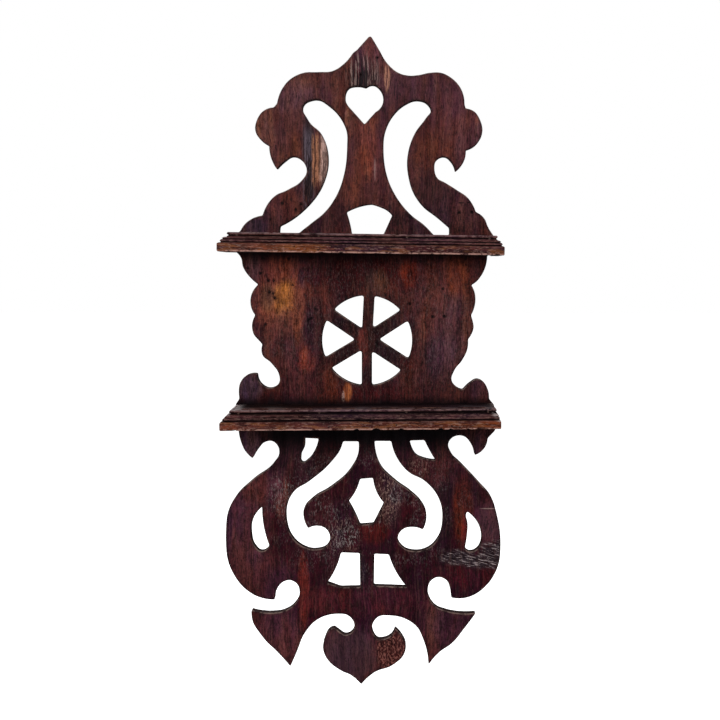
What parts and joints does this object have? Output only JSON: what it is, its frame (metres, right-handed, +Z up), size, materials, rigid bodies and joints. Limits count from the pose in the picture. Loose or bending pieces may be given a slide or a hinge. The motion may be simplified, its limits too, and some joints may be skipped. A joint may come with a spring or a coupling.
{
  "type": "wooden spoon rack",
  "caption": "Tall fretwork wall rack for spoons: pierced crest with a heart, spoked wheel, scrolled apron, and moulded shelves with spoon slots in their front edges.",
  "frame": {"origin": "on the wall face at the back of the board, on its centre line, level with the solid panel under the upper shelf", "axes": "+Y into the wall, +Z up towards the crest, +X to the right as seen from the front"},
  "size_m": [0.2593, 0.06, 0.605],
  "materials": {
    "board_wood": "dark red-brown stain over vertical grain, waxed and worn",
    "shelf_wood": "dark brown stain, dusty and worn",
    "moulding_wood": "red-brown stain rubbed to orange-brown on its edges",
    "iron": "dark oxidised iron"
  },
  "bodies": {
    "root": {"backboard": "board_wood", "upper_shelf_board": "shelf_wood", "lower_shelf_board": "shelf_wood", "upper_front_moulding": "moulding_wood", "upper_left_return": "moulding_wood", "upper_right_return": "moulding_wood", "lower_front_moulding": "moulding_wood", "lower_left_return": "moulding_wood", "lower_right_return": "moulding_wood", "upper_shelf_nails": "iron", "lower_shelf_nails": "iron", "upper_moulding_pins": "iron", "lower_moulding_pins": "iron"}
  },
  "joints": []
}
